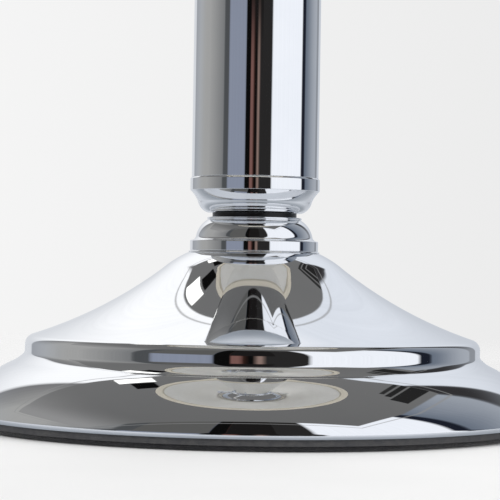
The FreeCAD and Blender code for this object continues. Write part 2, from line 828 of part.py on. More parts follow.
def thumb_screw():
    """Turned along its own axis and laid towards -X: its point bears on the tube."""
    body = doc.addObject("PartDesign::Body", "thumb_screw")
    body.Label = "thumb_screw"
    lay = FreeCAD.Rotation(ACROSS, -QUARTER_TURN)
    body.Placement = FreeCAD.Placement(FreeCAD.Vector(), lay)
    body.setExpression("Placement.Base.z", arm_z.text)
    screw_r = size("screw_d") / 2
    neck_r = size("screw_neck_d") / 2
    head_r = size("screw_head_d") / 2
    edge = size("screw_gap")
    point = tube_r + size("thread_clear")
    neck = collar_out_r + size("boss_length") + size("screw_gap")
    head = neck + size("screw_neck")
    end = head + size("screw_head")
    legs = [
        (NOUGHT, point),
        (screw_r, point),
        (screw_r, neck),
        (neck_r, neck),
        (neck_r, head),
        (head_r - edge, head),
        (head_r, head + edge),
        (head_r, end - edge),
        (head_r - edge, end),
        (NOUGHT, end),
    ]
    revolve(body, "outline", legs)
    groove = cut_circle(body, "groove", "XY_Plane", size("knurl_d") / 2, head_r, NOUGHT, backward=True)
    repeat_round(body, groove, KNURL_COUNT)
    return body


def carrier_arm(number):
    """A wire from its socket in the collar, bent up to its hole in the ring."""
    turn = FULL_TURN * number / ARM_COUNT
    body = new_body(f"carrier_arm_{number + 1}", arm_z, turn)
    start = cap_in_r + size("slide_clear") * 2
    reach = size("arm_reach")
    top = size("ring_level") + size("ring_base") - size("arm_tip_gap")
    legs = [(start, NOUGHT), (reach - size("arm_bend"), NOUGHT), *elbow(reach, NOUGHT, top, size("arm_bend"))]
    bent_wire(body, "wire", size("arm_d") / 2, legs)
    return body


def carrier_ring():
    """The ring on the arms, with a lip that keeps the shade's hub in the middle."""
    body = new_body("carrier_ring", ring_z)
    in_r = size("arm_reach") - size("ring_width") / 2
    out_r = size("arm_reach") + size("ring_width") / 2
    lip_r = in_r + size("ring_lip_wall")
    base = size("ring_base")
    lip_top = base + size("ring_lip")
    legs = [
        (in_r, NOUGHT),
        (out_r, NOUGHT),
        (out_r, base),
        (lip_r, base),
        (lip_r, lip_top),
        (in_r, lip_top),
    ]
    revolve(body, "outline", legs)
    hole = cut_circle(body, "arm_hole", "XY_Plane", arm_hole_r, size("arm_reach"), NOUGHT, backward=True)
    repeat_round(body, hole, ARM_COUNT)
    return body


def shade_spider():
    """The welded wire frame of the shade: a flat hub, three spokes and the top ring."""
    body = new_body("shade_spider", hub_z)
    thick = size("hub_thick")
    ring_level = shade_top_z - wire_rise - hub_z
    legs = [(hub_in_r, NOUGHT), (hub_out_r, NOUGHT), (hub_out_r, thick), (hub_in_r, thick)]
    revolve(body, "hub", legs)
    wire_ring(body, "top_ring", top_wire_r, ring_level, size("shade_wire_d") / 2)
    spoke_r = size("spoke_d") / 2
    level = thick + spoke_r / 2
    start = (hub_in_r + hub_out_r) / 2
    bend_share = 0.6
    bend = (top_wire_r - start) * bend_share
    legs = [(start, level), (top_wire_r - bend, level), *elbow(top_wire_r, level, ring_level, bend)]
    spoke = bent_wire(body, "spoke", spoke_r, legs)
    repeat_round(body, spoke, ARM_COUNT)
    return body


def shade_bottom_ring():
    body = new_body("shade_bottom_ring", shade_z)
    wire_ring(body, "wire", bottom_wire_r, wire_rise, size("shade_wire_d") / 2)
    return body


def shade_wall_r(height):
    """Outside radius of the shade at a height above its bottom edge."""
    return size("shade_bottom_d") / 2 - lean * height


def shade_cloth():
    """The cone of cloth on its stiff backing."""
    thick = size("cloth_thick")
    high = size("shade_height")
    legs = [
        (shade_wall_r(NOUGHT) - thick, NOUGHT),
        (shade_wall_r(NOUGHT), NOUGHT),
        (shade_wall_r(high), high),
        (shade_wall_r(high) - thick, high),
    ]
    return turned_body("shade_cloth", shade_z, legs)


def trim(label, level, edge_height, wire_r, upward):
    """A tape folded round one edge of the shade and the wire inside it.

    edge_height is the shade's edge; upward is 1 where the legs of the tape run up from it, else -1.
    """
    thick = size("trim_thick")
    gap = size("trim_gap")
    inner_r = wire_r - size("shade_wire_d") / 2 - gap

    def at(height):
        return edge_height + height * upward - level

    def out_r(height):
        return shade_wall_r(edge_height + height * upward - shade_z)

    outside = out_r(fold * -1) + gap
    legs = [
        (inner_r, at(size("trim_fold"))),
        (inner_r, at(gap * -1)),
        (out_r(gap * -1) + gap, at(gap * -1)),
        (out_r(size("trim_width")) + gap, at(size("trim_width"))),
        (out_r(size("trim_width")) + gap + thick, at(size("trim_width"))),
        (outside + thick, at(fold * -1)),
        (inner_r - thick, at(fold * -1)),
        (inner_r - thick, at(size("trim_fold"))),
    ]
    return turned_body(label, level, legs)


def trim_bottom():
    level = shade_z - fold * 2
    return trim("trim_bottom", level, shade_z, bottom_wire_r, 1)


def trim_top():
    level = shade_top_z - size("trim_width") * 2
    return trim("trim_top", level, shade_top_z, top_wire_r, -1)


PARTS = [
    felt_pad(),
    foot_weight(),
    foot_shell(),
    tie_rod(),
    tie_washer(),
    tie_nut(),
    knob_seat_ring(),
    lower_knob(),
    neck_spacer(),
    tube_cup(),
    candle_tube(),
    bayonet_pins(),
    feed_spring(),
    candle_follower(),
    candle(),
    wick(),
    tube_cap(),
    carrier_collar(),
    thumb_screw(),
    *[carrier_arm(number) for number in range(ARM_COUNT)],
    carrier_ring(),
    shade_spider(),
    shade_bottom_ring(),
    shade_cloth(),
    trim_top(),
    trim_bottom(),
]

doc.recompute()
for item in doc.Objects:
    if "Invalid" in item.State or "Error" in item.State:
        raise RuntimeError(f"{item.Name} failed: {item.State}")
for item in PARTS:
    if item.Shape.isNull() or not item.Shape.isValid():
        raise RuntimeError(f"{item.Label} has no valid shape")

os.makedirs("parts", exist_ok=True)
for item in PARTS:
    item.Shape.exportStep(f"parts/{item.Label}.step")
    box = item.Shape.BoundBox
    print(
        f"{item.Label}: {len(item.Shape.Solids)} solid, {item.Shape.Volume:.0f} mm3,"
        f" z {box.ZMin:.2f} to {box.ZMax:.2f}, r {box.XMax:.2f}"
    )
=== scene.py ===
import math
import random

import bmesh
import bpy
import numpy as np
from mathutils import Matrix, Vector


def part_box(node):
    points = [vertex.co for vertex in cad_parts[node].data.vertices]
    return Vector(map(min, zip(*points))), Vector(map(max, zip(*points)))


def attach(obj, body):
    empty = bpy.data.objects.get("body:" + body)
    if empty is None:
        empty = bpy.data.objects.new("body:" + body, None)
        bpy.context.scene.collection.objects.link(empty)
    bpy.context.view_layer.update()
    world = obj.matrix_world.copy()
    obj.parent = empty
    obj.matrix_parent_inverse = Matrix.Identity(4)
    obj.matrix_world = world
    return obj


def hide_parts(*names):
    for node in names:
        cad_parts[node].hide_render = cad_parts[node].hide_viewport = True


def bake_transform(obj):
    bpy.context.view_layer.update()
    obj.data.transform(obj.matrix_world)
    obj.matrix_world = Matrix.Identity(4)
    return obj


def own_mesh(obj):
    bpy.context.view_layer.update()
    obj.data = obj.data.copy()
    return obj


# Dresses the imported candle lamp: chrome column and foot, spring-fed candle, shade on its carrier.
# Metres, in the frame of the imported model: +Z up, the camera looks along +Y.

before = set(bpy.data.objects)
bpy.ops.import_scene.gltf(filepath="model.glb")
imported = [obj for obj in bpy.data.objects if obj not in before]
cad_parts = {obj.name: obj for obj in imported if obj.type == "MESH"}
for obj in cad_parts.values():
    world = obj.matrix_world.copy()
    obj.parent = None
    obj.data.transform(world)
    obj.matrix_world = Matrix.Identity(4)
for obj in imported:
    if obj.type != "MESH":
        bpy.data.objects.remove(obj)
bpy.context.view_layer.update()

MM = 0.001
FULL_TURN = 2 * math.pi

# Camera: the photograph is a close view of the foot and the lower column
LENS_MM = 144
SENSOR_MM = 36
PIXEL = 0.2212 * MM
CAMERA_BACK = 2000 * PIXEL
HORIZON_ROW = 260
AXIS_COLUMN = 254.0
PICTURE_MIDDLE = 250
CAMERA_UP = 36.5 * MM
ROLL_DEG = 0.9


# Node trees

def add_node(tree, kind, inputs=None, **settings):
    """A node with its settings, and with numbers, colours or sockets on the named inputs."""
    node = tree.nodes.new(kind)
    for key, value in settings.items():
        setattr(node, key, value)
    for key, value in (inputs or {}).items():
        socket = node.inputs[key]
        if isinstance(value, bpy.types.NodeSocket):
            tree.links.new(value, socket)
        else:
            socket.default_value = value
    return node


def maths(tree, operation, first, second=0.0, third=0.0):
    """The result of one operation of the Math node on numbers or sockets."""
    return add_node(tree, "ShaderNodeMath", {0: first, 1: second, 2: third}, operation=operation).outputs[0]


def between(tree, value, low, high):
    """Rises smoothly from 0 at low to 1 at high."""
    inputs = {"Value": value, "From Min": low, "From Max": high}
    node = add_node(tree, "ShaderNodeMapRange", inputs, interpolation_type="SMOOTHSTEP")
    return node.outputs["Result"]


def mix(tree, share, first, second):
    """A colour from first at share 0 to second at 1, on the Mix node's sockets for colours."""
    return add_node(tree, "ShaderNodeMix", {0: share, 6: first, 7: second}, data_type="RGBA").outputs[2]


def ramp(tree, share, stops):
    """A colour for each share, straight between the stops."""
    node = add_node(tree, "ShaderNodeValToRGB", {"Fac": share})
    elements = node.color_ramp.elements
    elements[0].position, elements[0].color = stops[0]
    elements[1].position, elements[1].color = stops[-1]
    for position, colour in stops[1:-1]:
        elements.new(position).color = colour
    return node.outputs["Color"]


def noise(tree, place, scale, detail=4.0, rough=0.5, twist=0.0):
    """Cloudy noise, mostly between 0.3 and 0.7."""
    inputs = {"Vector": place, "Scale": scale, "Detail": detail, "Roughness": rough, "Distortion": twist}
    return add_node(tree, "ShaderNodeTexNoise", inputs).outputs["Fac"]


def stretched(tree, place, along):
    """The place with each axis scaled, for grain that runs one way."""
    return add_node(tree, "ShaderNodeMapping", {"Vector": place, "Scale": along}).outputs["Vector"]


def bump(tree, height, strength, depth):
    """A normal tilted by a height, of which 1 stands for a depth in metres."""
    inputs = {"Height": height, "Strength": strength, "Distance": depth}
    return add_node(tree, "ShaderNodeBump", inputs).outputs["Normal"]


def new_material(name):
    """A material with one Principled shader, and the place of each point in the lamp's frame."""
    material = bpy.data.materials.new(name)
    material.use_nodes = True
    tree = material.node_tree
    shader = tree.nodes["Principled BSDF"]
    place = tree.nodes.new("ShaderNodeTexCoord").outputs["Object"]
    return material, tree, shader, place


def set_shader(tree, shader, **values):
    """Sets or links the shader's inputs, named with _ for a space."""
    for key, value in values.items():
        socket = shader.inputs[key.replace("_", " ")]
        if isinstance(value, bpy.types.NodeSocket):
            tree.links.new(value, socket)
        else:
            socket.default_value = value


def grey(level):
    """A neutral colour."""
    return (level, level, level, 1)


def xyz(tree, vector):
    """The three numbers of a vector."""
    return add_node(tree, "ShaderNodeSeparateXYZ", {0: vector}).outputs


# Materials

def chrome():
    """Bright plating: faint haze, wiping marks and a trace of the ripple left by the polishing wheel."""
    material, tree, shader, place = new_material("polished_chrome")
    haze = noise(tree, place, 60, 5, 0.6)
    tint = ramp(tree, haze, [(0.3, (0.86, 0.87, 0.885, 1)), (0.7, (0.9, 0.905, 0.915, 1))])
    wipes = noise(tree, stretched(tree, place, (300, 300, 2600)), 1, 3, 0.7)
    rough = maths(tree, "MULTIPLY_ADD", between(tree, wipes, 0.55, 0.85), 0.035, 0.022)
    ripple = noise(tree, place, 90, 2, 0.4)
    set_shader(
        tree, shader, Base_Color=tint, Metallic=1.0, Roughness=rough,
        Normal=bump(tree, ripple, 0.02, 0.0004),
    )
    return material


def dark_steel():
    """Blackened steel, a little worn where it was turned."""
    material, tree, shader, place = new_material("dark_steel")
    rings = noise(tree, stretched(tree, place, (40, 40, 6000)), 1, 3, 0.6)
    tint = ramp(tree, rings, [(0.3, grey(0.02)), (0.75, grey(0.06))])
    rough = maths(tree, "MULTIPLY_ADD", rings, 0.2, 0.25)
    set_shader(tree, shader, Base_Color=tint, Metallic=1.0, Roughness=rough)
    return material


def zinc_steel():
    """Zinc plate: pale, cloudy and slightly spangled."""
    material, tree, shader, place = new_material("zinc_steel")
    cells = add_node(tree, "ShaderNodeTexVoronoi", {"Vector": place, "Scale": 900.0}).outputs["Color"]
    level = add_node(tree, "ShaderNodeSeparateColor", {0: cells}).outputs[0]
    cloud = noise(tree, place, 250, 4)
    tint = ramp(tree, cloud, [(0.3, (0.52, 0.53, 0.53, 1)), (0.7, (0.67, 0.66, 0.62, 1))])
    rough = maths(tree, "MULTIPLY_ADD", level, 0.2, 0.25)
    set_shader(
        tree, shader, Base_Color=tint, Metallic=1.0, Roughness=rough,
        Normal=bump(tree, cloud, 0.1, 0.0002),
    )
    return material


def spring_steel():
    """Drawn wire, grey and faintly streaked."""
    material, tree, shader, place = new_material("spring_steel")
    drawn = noise(tree, place, 1500, 3, 0.6)
    tint = ramp(tree, drawn, [(0.3, grey(0.4)), (0.7, grey(0.52))])
    rough = maths(tree, "MULTIPLY_ADD", drawn, 0.15, 0.22)
    set_shader(tree, shader, Base_Color=tint, Metallic=1.0, Roughness=rough)
    return material


def cast_iron():
    """A rough casting under black paint."""
    material, tree, shader, place = new_material("cast_iron")
    grains = noise(tree, place, 700, 5, 0.65)
    lumps = noise(tree, place, 120, 3)
    tint = ramp(tree, grains, [(0.3, (0.045, 0.045, 0.05, 1)), (0.75, (0.085, 0.083, 0.082, 1))])
    height = maths(tree, "MULTIPLY_ADD", lumps, 1.5, grains)
    set_shader(
        tree, shader, Base_Color=tint, Roughness=maths(tree, "MULTIPLY_ADD", grains, 0.2, 0.45),
        Normal=bump(tree, height, 0.5, 0.0003),
    )
    return material


def felt():
    """Dark wool felt, matted fibres with a soft sheen."""
    material, tree, shader, place = new_material("felt")
    fibres = noise(tree, place, 2200, 6, 0.75, 1.5)
    clumps = noise(tree, place, 350, 3)
    shade = maths(tree, "MULTIPLY_ADD", clumps, 0.5, maths(tree, "MULTIPLY", fibres, 0.5))
    tint = ramp(tree, shade, [(0.3, (0.03, 0.03, 0.034, 1)), (0.7, (0.085, 0.085, 0.092, 1))])
    set_shader(
        tree, shader, Base_Color=tint, Roughness=0.95, Sheen_Weight=0.4, Sheen_Roughness=0.5,
        Normal=bump(tree, fibres, 0.8, 0.0004),
    )
    return material


def wax():
    """Ivory wax: cloudy, slightly uneven, light sinks into it."""
    material, tree, shader, place = new_material("wax")
    cloud = noise(tree, place, 90, 4, 0.55)
    dents = noise(tree, place, 260, 3)
    tint = ramp(tree, cloud, [(0.3, (0.86, 0.8, 0.67, 1)), (0.7, (0.91, 0.86, 0.75, 1))])
    set_shader(
        tree, shader, Base_Color=tint, Roughness=maths(tree, "MULTIPLY_ADD", dents, 0.15, 0.32),
        Subsurface_Weight=0.35, Subsurface_Scale=0.004, Subsurface_Radius=(1.0, 0.7, 0.4),
        Normal=bump(tree, dents, 0.15, 0.0005),
    )
    return material


def cotton():
    """Undyed cotton, its fibres running up the strands."""
    material, tree, shader, place = new_material("cotton")
    fibres = noise(tree, stretched(tree, place, (6000, 6000, 1500)), 1, 4, 0.7)
    tint = ramp(tree, fibres, [(0.3, (0.72, 0.68, 0.58, 1)), (0.7, (0.87, 0.84, 0.76, 1))])
    set_shader(
        tree, shader, Base_Color=tint, Roughness=0.85, Sheen_Weight=0.2,
        Normal=bump(tree, fibres, 0.6, 0.0002),
    )
    return material


def shade_enamel():
    """White stove enamel with a slight orange peel."""
    material, tree, shader, place = new_material("shade_wire")
    peel = noise(tree, place, 800, 3)
    cloud = noise(tree, place, 60, 3)
    tint = ramp(tree, cloud, [(0.3, (0.8, 0.785, 0.75, 1)), (0.7, (0.86, 0.85, 0.82, 1))])
    set_shader(
        tree, shader, Base_Color=tint, Roughness=maths(tree, "MULTIPLY_ADD", cloud, 0.1, 0.25),
        Coat_Weight=0.3, Coat_Roughness=0.12, Normal=bump(tree, peel, 0.12, 0.0002),
    )
    return material


def wave(tree, along, pitch):
    """A sine that turns over at each new thread."""
    return maths(tree, "SINE", maths(tree, "MULTIPLY", along, math.pi / pitch))


def crowns(tree, waves):
    """Rounded threads side by side, each 0 at its edges and 1 on its crown."""
    return maths(tree, "ABSOLUTE", waves)


def linen():
    """Plain weave with slubs, laid flat on its cut so that the grain runs as in a real shade."""
    material, tree, shader, _ = new_material("shade_linen")
    cut = tree.nodes.new("ShaderNodeUVMap").outputs["UV"]
    across, up, _ = xyz(tree, cut)
    pitch = 0.62 * MM
    wander = 0.9 * MM
    shift = maths(tree, "MULTIPLY", maths(tree, "SUBTRACT", noise(tree, cut, 160, 3), 0.5), wander)
    warp = wave(tree, maths(tree, "ADD", across, shift), pitch)
    weft = wave(tree, maths(tree, "ADD", up, shift), pitch)
    checker = maths(tree, "MULTIPLY_ADD", maths(tree, "MULTIPLY", warp, weft), 0.5, 0.5)
    over = maths(tree, "MULTIPLY", crowns(tree, warp), checker)
    under = maths(tree, "MULTIPLY", crowns(tree, weft), maths(tree, "SUBTRACT", 1.0, checker))
    height = maths(tree, "ADD", over, under)
    slub_up = noise(tree, stretched(tree, cut, (1500, 60, 1)), 1, 3, 0.6)
    slub_across = noise(tree, stretched(tree, cut, (60, 1500, 1)), 1, 3, 0.6)
    slubs = maths(tree, "MULTIPLY", maths(tree, "ADD", slub_up, slub_across), 0.5)
    # Painted shade in the weave: thread crowns lighter, the hollows between them darker; the slubs are the
    # linen's own tone.
    tone = maths(tree, "MULTIPLY_ADD", height, 0.35, maths(tree, "MULTIPLY", slubs, 0.65))
    dark, mid, light = (0.66, 0.6, 0.5, 1), (0.8, 0.755, 0.665, 1), (0.88, 0.85, 0.78, 1)
    tint = ramp(tree, tone, [(0.2, dark), (0.45, mid), (0.75, light)])
    set_shader(
        tree, shader, Base_Color=tint, Roughness=0.9, Sheen_Weight=0.15, Sheen_Roughness=0.4,
        Normal=bump(tree, height, 0.6, 0.00025),
    )
    return material


def backing():
    """White plastic sheet behind the linen, faintly mottled."""
    material, tree, shader, place = new_material("shade_backing")
    mottle = noise(tree, place, 140, 4)
    tint = ramp(tree, mottle, [(0.3, (0.88, 0.87, 0.84, 1)), (0.7, (0.91, 0.905, 0.88, 1))])
    rough = maths(tree, "MULTIPLY_ADD", mottle, 0.1, 0.6)
    set_shader(tree, shader, Base_Color=tint, Roughness=rough)
    return material


def trim_tape():
    """Ribbed tape: fine ribs up and down, a little darker than the linen."""
    material, tree, shader, place = new_material("trim_tape")
    x, y, z = xyz(tree, place)
    rib_count = 840
    ribs = crowns(tree, wave(tree, maths(tree, "ARCTAN2", y, x), FULL_TURN / rib_count))
    rows = crowns(tree, wave(tree, z, 0.4 * MM))
    height = maths(tree, "MULTIPLY_ADD", rows, 0.25, ribs)
    cloud = noise(tree, place, 500, 4)
    # Painted shade in the ribs: rib crowns lighter, the hollows between them darker; the cloud is the
    # tape's own tone.
    tone = maths(tree, "MULTIPLY_ADD", height, 0.55, maths(tree, "MULTIPLY", cloud, 0.3))
    tint = ramp(tree, tone, [(0.1, (0.58, 0.52, 0.42, 1)), (0.8, (0.77, 0.72, 0.61, 1))])
    set_shader(
        tree, shader, Base_Color=tint, Roughness=0.82, Sheen_Weight=0.2,
        Normal=bump(tree, height, 0.6, 0.00025),
    )
    return material


def sewing_thread():
    """Twisted thread in the tape's colour, a little lighter."""
    material, tree, shader, place = new_material("sewing_thread")
    twist = noise(tree, place, 4000, 3, 0.6)
    tint = ramp(tree, twist, [(0.3, (0.66, 0.6, 0.48, 1)), (0.7, (0.85, 0.8, 0.69, 1))])
    set_shader(
        tree, shader, Base_Color=tint, Roughness=0.6, Sheen_Weight=0.2,
        Normal=bump(tree, twist, 0.5, 0.0001),
    )
    return material


# Light and background

def screen_tones():
    """The studio round the lamp: degrees right of the camera, and the tone there."""
    white = (1.1, 1.11, 1.13)
    blue_white = (0.8, 0.84, 0.91)
    lilac = (0.26, 0.29, 0.37)
    black = (0.004, 0.004, 0.004)
    copper = (0.2, 0.1, 0.088)
    tan = (0.26, 0.18, 0.155)
    doorway = (0.023, 0.022, 0.022)
    window = (0.97, 1.0, 1.06)
    edge = (0.012, 0.015, 0.025)
    shadow = (0.08, 0.085, 0.09)
    brown = (0.035, 0.034, 0.036)
    return [
        (-180, white),
        (-147, white),
        (-145, (0.2, 0.2, 0.205)),
        (-124, (0.4, 0.4, 0.39)),
        (-96, (0.39, 0.39, 0.385)),
        (-62, (0.21, 0.215, 0.22)),
        (-60, shadow),
        (-52, shadow),
        (-50, lilac),
        (-20, lilac),
        (-18.5, black),
        (-11, black),
        (-10, copper),
        (-6, copper),
        (-5, (0.045, 0.02, 0.015)),
        (-2, black),
        (1, black),
        (2, tan),
        (5, tan),
        (6, doorway),
        (27.5, doorway),
        (28.5, window),
        (89, window),
        (91, edge),
        (98, edge),
        (99.5, (0.15, 0.18, 0.23)),
        (138, (0.35, 0.38, 0.43)),
        (139.5, brown),
        (149, brown),
        (150.5, blue_white),
        (172, blue_white),
        (180, white),
    ]


def patch(tree, right, back, low, high, soft=0.02):
    """1 inside a rectangle of the level above the lamp, where the level's height counts as 1."""
    inside = 1.0
    for value, start, end in ((right, low[0], high[0]), (back, low[1], high[1])):
        inside = maths(tree, "MULTIPLY", inside, between(tree, value, start - soft, start))
        inside = maths(tree, "MULTIPLY", inside, between(tree, value, end + soft, end))
    return inside


def screens_round(tree, x, y, z):
    """The upright screens: streaked, dark over the doorway and its left wall, dimmer low behind."""
    azimuth = maths(tree, "ARCTAN2", x, maths(tree, "MULTIPLY", y, -1.0))
    share = maths(tree, "MULTIPLY_ADD", azimuth, 1 / FULL_TURN, 0.5)
    screens = ramp(tree, share, [((turn + 180) / 360, (*tone, 1)) for turn, tone in screen_tones()])
    streaks = noise(tree, add_node(tree, "ShaderNodeCombineXYZ", {0: azimuth}).outputs[0], 28, 3, 0.7)
    streaked = mix(tree, streaks, grey(0.88), grey(1.1))
    screens = add_node(
        tree, "ShaderNodeVectorMath", {0: screens, 1: streaked}, operation="MULTIPLY",
    ).outputs[0]

    # Middle and half width in radians, where the dark starts and is full, and its tone
    door = (0.0, 0.19, 0.09, 0.14, (0.012, 0.011, 0.011, 1))
    left_wall = (-0.62, 0.29, 0.12, 0.22, (0.11, 0.11, 0.107, 1))
    for middle, half, start, full, tone in (door, left_wall):
        aside = maths(tree, "ABSOLUTE", maths(tree, "SUBTRACT", azimuth, middle))
        over = maths(tree, "MULTIPLY", maths(tree, "LESS_THAN", aside, half), between(tree, z, start, full))
        screens = mix(tree, over, screens, tone)

    low_behind = maths(tree, "MULTIPLY", between(tree, y, 0.2, 0.7), between(tree, z, 0.6, 0.1))
    return mix(tree, maths(tree, "MULTIPLY", low_behind, 0.6), screens, (0.45, 0.48, 0.53, 1))


def under_ceiling(tree, x, y, z, room):
    """A level ceiling over the screens, wider to the left, with a moulding round it and things under it."""
    height = maths(tree, "MAXIMUM", z, 0.01)
    right = maths(tree, "DIVIDE", x, height)
    back = maths(tree, "DIVIDE", y, height)
    upward = between(tree, z, 0.02, 0.05)
    outer = patch(tree, right, back, (-1.66, -0.55), (0.75, 0.88))
    inner = patch(tree, right, back, (-1.64, -0.53), (0.73, 0.86))
    moulding = maths(tree, "MULTIPLY", maths(tree, "SUBTRACT", outer, inner), upward)
    room = mix(tree, maths(tree, "MULTIPLY", moulding, 0.7), room, grey(0.3))
    ceiling = mix(tree, between(tree, back, -0.4, 0.8), grey(0.15), grey(0.17))
    ceiling = mix(tree, between(tree, right, -0.6, -1.4), ceiling, grey(0.3))
    panel = maths(tree, "MULTIPLY", patch(tree, right, back, (-1.55, -0.46), (0.66, 0.78)), upward)
    room = mix(tree, panel, room, ceiling)

    # A lamp, its black housing and three dark beams: left and front, right and back, tone
    things = [
        ((-0.4, 0.62), (-0.27, 0.76), (1.6, 1.6, 1.55, 1)),
        ((-0.36, 0.44), (-0.28, 0.59), grey(0.004)),
        ((0.42, 0.46), (0.435, 0.78), grey(0.03)),
        ((0.455, 0.42), (0.48, 0.78), grey(0.02)),
        ((0.5, 0.36), (0.6, 0.78), grey(0.02)),
    ]
    for low, high, tone in things:
        inside = maths(tree, "MULTIPLY", patch(tree, right, back, low, high, soft=0.008), upward)
        room = mix(tree, inside, room, tone)
    return room


def studio():
    """The world: pale paper for the camera, the studio's screens for what shines, grey for the rest."""
    world = bpy.data.worlds.new("studio")
    bpy.context.scene.world = world
    world.use_nodes = True
    tree = world.node_tree
    tree.nodes.clear()
    x, y, z = xyz(tree, tree.nodes.new("ShaderNodeTexCoord").outputs["Generated"])
    room = under_ceiling(tree, x, y, z, screens_round(tree, x, y, z))
    # Painted light: the paper is lighter to the left, on the key lamp's side, and darker to the right.
    paper_light_share = maths(tree, "MULTIPLY_ADD", x, -0.3, 0.5)
    paper = ramp(tree, paper_light_share, [(0.45, grey(0.83)), (0.55, grey(0.92))])

    rays = tree.nodes.new("ShaderNodeLightPath").outputs
    shining = maths(tree, "MAXIMUM", rays["Is Glossy Ray"], rays["Is Transmission Ray"])
    seen = mix(tree, shining, grey(0.62), room)
    seen = mix(tree, rays["Is Camera Ray"], seen, paper)
    background = add_node(tree, "ShaderNodeBackground", {"Color": seen, "Strength": 1.0})
    output = tree.nodes.new("ShaderNodeOutputWorld")
    tree.links.new(background.outputs[0], output.inputs[0])


def linked(name, data):
    """An object of the scene that holds the data."""
    made = bpy.data.objects.new(name, data)
    bpy.context.scene.collection.objects.link(made)
    return made


def soft_light(name, place, aim, across, watts):
    """A round lamp that lights the object and isn't seen or mirrored itself."""
    data = bpy.data.lights.new(name, "AREA")
    data.shape = "DISK"
    data.size = across
    data.energy = watts
    light = linked(name, data)
    light.location = place
    light.rotation_euler = (Vector(aim) - Vector(place)).to_track_quat("-Z", "Y").to_euler()
    light.visible_glossy = False
    light.visible_camera = False


def table_top():
    """A pale table that thins out into the paper behind it; in the chrome's mirror it has a painted shade,
    darker near the lamp.
    """
    material, tree, shader, place = new_material("table")
    away = add_node(tree, "ShaderNodeVectorMath", {0: place}, operation="LENGTH").outputs["Value"]
    pale = ramp(tree, noise(tree, place, 30, 3), [(0, grey(0.84)), (1, grey(0.88))])
    # Painted shade: what the chrome mirrors of the table is darker and bluer near the lamp, for mirrored
    # rays only.
    near, far = (0.3, 0.33, 0.37, 1), (0.6, 0.63, 0.68, 1)
    mirrored_painted_shade = mix(tree, between(tree, away, 0.06, 0.17), near, far)
    shining = tree.nodes.new("ShaderNodeLightPath").outputs["Is Glossy Ray"]
    set_shader(
        tree, shader, Base_Color=mix(tree, shining, pale, mirrored_painted_shade), Roughness=0.9,
        Specular_IOR_Level=0.0, Alpha=between(tree, away, 0.55, 0.2),
    )
    bpy.ops.mesh.primitive_circle_add(vertices=96, radius=0.9, fill_type="NGON", location=(0, 0, 0))
    table = bpy.context.object
    table.name = "table_top"
    table.data.materials.append(material)


def camera():
    """The photograph's close view, a little tilted."""
    data = bpy.data.cameras.new("camera")
    data.lens = LENS_MM
    data.sensor_width = SENSOR_MM
    data.clip_start = 0.01
    data.clip_end = 20
    eye = linked("camera", data)
    pitch = math.atan((HORIZON_ROW - PICTURE_MIDDLE) * PIXEL / CAMERA_BACK)
    eye.location = ((PICTURE_MIDDLE - AXIS_COLUMN) * PIXEL, -CAMERA_BACK, CAMERA_UP)
    upright = Matrix.Rotation(math.radians(90) + pitch, 4, "X")
    roll = Matrix.Rotation(math.radians(ROLL_DEG), 4, "Z")
    eye.matrix_world = Matrix.Translation(eye.location) @ upright @ roll
    bpy.context.scene.camera = eye


# Shapes

def arc_points(start, middle, end, steps):
    """Points of the arc through three points, without its start."""
    (ax, ay), (bx, by), (cx, cy) = start, middle, end
    twice = 2 * (ax * (by - cy) + bx * (cy - ay) + cx * (ay - by))
    a2, b2, c2 = ax * ax + ay * ay, bx * bx + by * by, cx * cx + cy * cy
    ux = (a2 * (by - cy) + b2 * (cy - ay) + c2 * (ay - by)) / twice
    uy = (a2 * (cx - bx) + b2 * (ax - cx) + c2 * (bx - ax)) / twice
    radius = math.hypot(ax - ux, ay - uy)
    first, second, third = (math.atan2(y - uy, x - ux) for x, y in (start, middle, end))
    sweep = (third - first) % FULL_TURN
    if (second - first) % FULL_TURN > sweep:
        sweep -= FULL_TURN
    angles = [first + sweep * number / steps for number in range(1, steps + 1)]
    return [(ux + radius * math.cos(a), uy + radius * math.sin(a)) for a in angles]


def outline(legs, arc_steps=48):
    """Points of lines and arcs: two numbers end a line, four an arc through the first two."""
    points = []
    before = legs[-1][-2:]
    for leg in legs:
        if len(leg) == 2:
            points.append(leg)
        else:
            points.extend(arc_points(before, leg[:2], leg[2:], arc_steps))
        before = leg[-2:]
    return points


def buffed(points, radius, longest, turn_deg=2.5):
    """A closed outline, its corners rounded as by a polishing wheel, with the points that this needs.

    The outline is cut into short equal steps and blurred. A point is kept where the line has turned by
    turn_deg since the last one, or is longest away from it.
    """
    step_share, blur_share = 0.35, 0.6
    loop = np.array(points + points[:1])
    runs = np.hypot(*np.diff(loop, axis=0).T)
    reach = np.concatenate([[0], np.cumsum(runs)])
    count = int(reach[-1] / (radius * step_share))
    at = np.arange(count) * reach[-1] / count
    dense = np.column_stack([np.interp(at, reach, loop[:, axis]) for axis in (0, 1)])
    spread = radius * blur_share / (reach[-1] / count)
    half = int(spread * 3) + 1
    shifts = range(-half, half + 1)
    weights = [math.exp(-0.5 * (shift / spread) ** 2) for shift in shifts]
    blurred = sum(weight * np.roll(dense, shift, axis=0) for shift, weight in zip(shifts, weights))
    soft = blurred / sum(weights)
    kept = [soft[0]]
    heading = soft[1] - soft[0]
    for number in range(1, count):
        ahead = soft[(number + 1) % count] - soft[number]
        cosine = float(heading @ ahead) / (np.hypot(*heading) * np.hypot(*ahead))
        turned = math.degrees(math.acos(max(-1.0, min(1.0, cosine))))
        if turned >= turn_deg or np.hypot(*(soft[number] - kept[-1])) >= longest:
            kept.append(soft[number])
            heading = ahead
    return [tuple(point) for point in kept]


